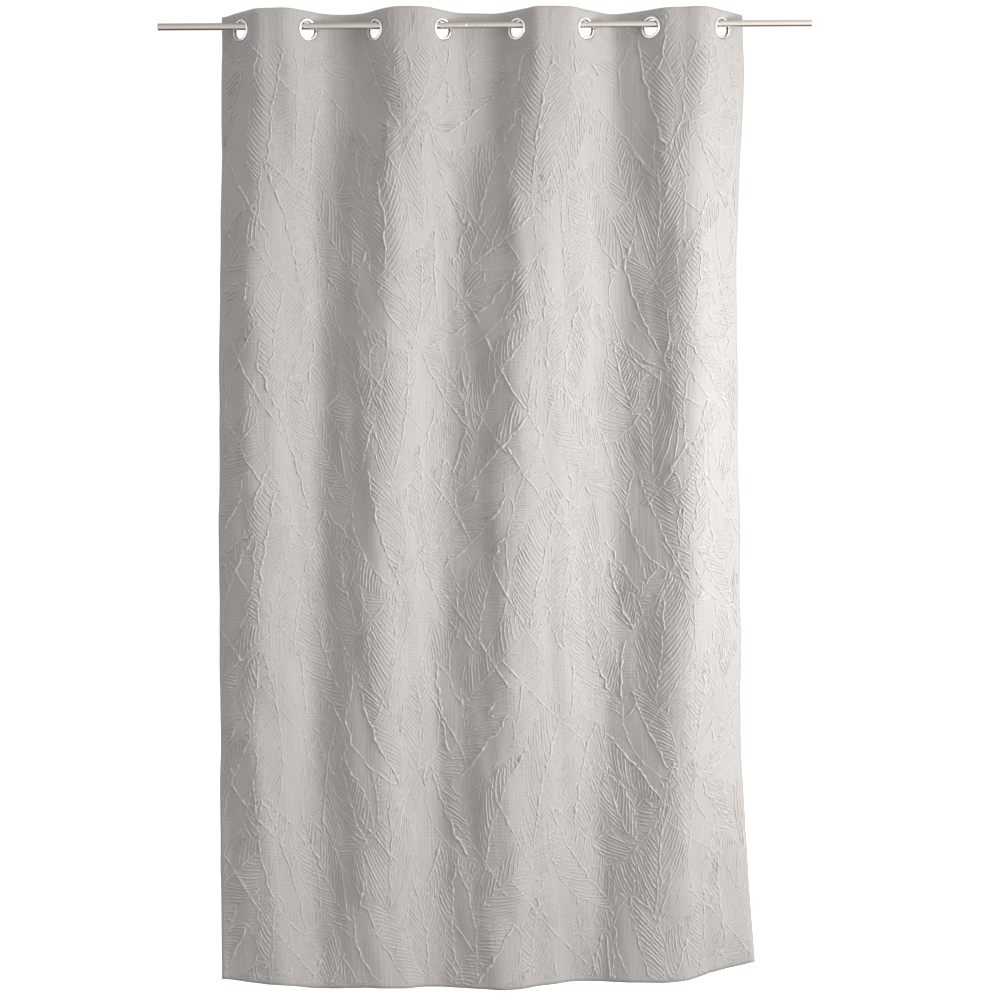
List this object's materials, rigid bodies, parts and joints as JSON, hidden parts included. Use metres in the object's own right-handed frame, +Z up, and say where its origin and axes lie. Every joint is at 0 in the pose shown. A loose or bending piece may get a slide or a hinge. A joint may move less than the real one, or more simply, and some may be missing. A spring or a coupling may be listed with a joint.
{
  "type": "eyelet curtain on its curtain rod",
  "caption": "Tall hung panel of leaf-relief cloth in soft uneven upright folds, threaded by its metal eyelets on a plain straight rod.",
  "frame": {"origin": "on the rod's axis at the middle of its length, where the wall brackets hold it", "axes": "+X along the rod, +Z up, and the front of the cloth faces -Y"},
  "size_m": [1.6, 0.0938, 2.3944],
  "materials": {
    "cloth": "matt greige furnishing cloth with raised leaf veins",
    "rod_metal": "satin nickel tube",
    "eyelet_metal": "bright satin nickel, slightly warm"
  },
  "bodies": {
    "root": {"curtain_panel": "cloth", "curtain_rod": "rod_metal", "eyelet_front_1": "eyelet_metal", "eyelet_front_2": "eyelet_metal", "eyelet_front_3": "eyelet_metal", "eyelet_front_4": "eyelet_metal", "eyelet_front_5": "eyelet_metal", "eyelet_front_6": "eyelet_metal", "eyelet_front_7": "eyelet_metal", "eyelet_front_8": "eyelet_metal", "eyelet_back_1": "eyelet_metal", "eyelet_back_2": "eyelet_metal", "eyelet_back_3": "eyelet_metal", "eyelet_back_4": "eyelet_metal", "eyelet_back_5": "eyelet_metal", "eyelet_back_6": "eyelet_metal", "eyelet_back_7": "eyelet_metal", "eyelet_back_8": "eyelet_metal"}
  },
  "joints": []
}
